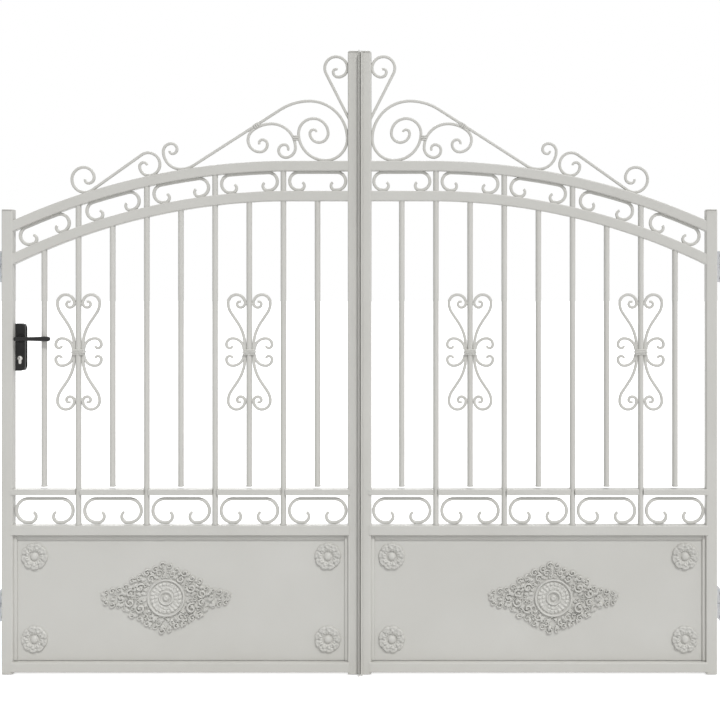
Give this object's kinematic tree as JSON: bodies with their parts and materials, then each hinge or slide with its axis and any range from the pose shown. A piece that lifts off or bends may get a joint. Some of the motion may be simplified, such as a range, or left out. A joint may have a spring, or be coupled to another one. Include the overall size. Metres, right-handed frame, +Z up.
{
  "type": "double-leaf arched aluminium swing gate",
  "caption": "Double-leaf swing gate with arched top, scrollwork crest, round balusters, solid lower panels and a lever lock; each leaf turns on pintle hinges fixed to pillars.",
  "frame": {"origin": "on the wall face of the lower left hinge plate, level with the middle of its arm and in line with the hinge pin", "axes": "+X along the closed gate from the left pillar to the right, +Y from the front to the back, the way the leaves open, +Z up"},
  "size_m": [2.556, 0.1395, 2.184],
  "materials": {
    "powder_coat": "satin powder coat, warm light grey",
    "hinge_steel": "galvanised",
    "black_coat": "satin black coat",
    "nickel": "satin nickel"
  },
  "bodies": {
    "wall_hinges": {"left_wall_hinges": "hinge_steel", "right_wall_hinges": "hinge_steel"},
    "left_leaf": {"left_hinge_eyes": "hinge_steel", "left_hinge_stile": "powder_coat", "left_meeting_stile": "powder_coat", "left_stile_caps": "powder_coat", "left_bottom_rail": "powder_coat", "left_panel_rail": "powder_coat", "left_mid_rail": "powder_coat", "left_lower_arch": "powder_coat", "left_top_arch": "powder_coat", "left_short_balusters": "powder_coat", "left_long_balusters": "powder_coat", "left_panel": "powder_coat", "left_panel_beads": "powder_coat", "left_corner_rosettes": "powder_coat", "left_centre_ornament": "powder_coat", "left_lower_scrolls": "powder_coat", "left_arch_scrolls": "powder_coat", "left_heart_scrolls": "powder_coat", "left_crest_scrolls": "powder_coat", "lock_case": "powder_coat", "lock_plates": "black_coat", "lock_cylinder": "nickel"},
    "right_leaf": {"right_hinge_eyes": "hinge_steel", "right_hinge_stile": "powder_coat", "right_meeting_stile": "powder_coat", "right_stile_caps": "powder_coat", "right_bottom_rail": "powder_coat", "right_panel_rail": "powder_coat", "right_mid_rail": "powder_coat", "right_lower_arch": "powder_coat", "right_top_arch": "powder_coat", "right_short_balusters": "powder_coat", "right_long_balusters": "powder_coat", "right_panel": "powder_coat", "right_panel_beads": "powder_coat", "right_corner_rosettes": "powder_coat", "right_centre_ornament": "powder_coat", "right_lower_scrolls": "powder_coat", "right_arch_scrolls": "powder_coat", "right_heart_scrolls": "powder_coat", "right_crest_scrolls": "powder_coat", "cover_strip": "powder_coat"},
    "lever": {"lever_handle": "black_coat"}
  },
  "joints": [
    {"name": "left_leaf_swing", "type": "hinge", "parent": "wall_hinges", "child": "left_leaf", "pos_m": [0.045, 0, 0], "axis": [0, 0, 1], "range_deg": [0, 90]},
    {"name": "right_leaf_swing", "type": "hinge", "parent": "wall_hinges", "child": "right_leaf", "pos_m": [2.511, 0, 0], "axis": [0, 0, -1], "range_deg": [0, 90]},
    {"name": "lever_turn", "type": "hinge", "parent": "left_leaf", "child": "lever", "pos_m": [0.082, 0, 0.947], "axis": [0, 1, 0], "range_deg": [0, 35], "stiffness_Nm_per_rad": 2, "springref_deg": -20.05}
  ]
}
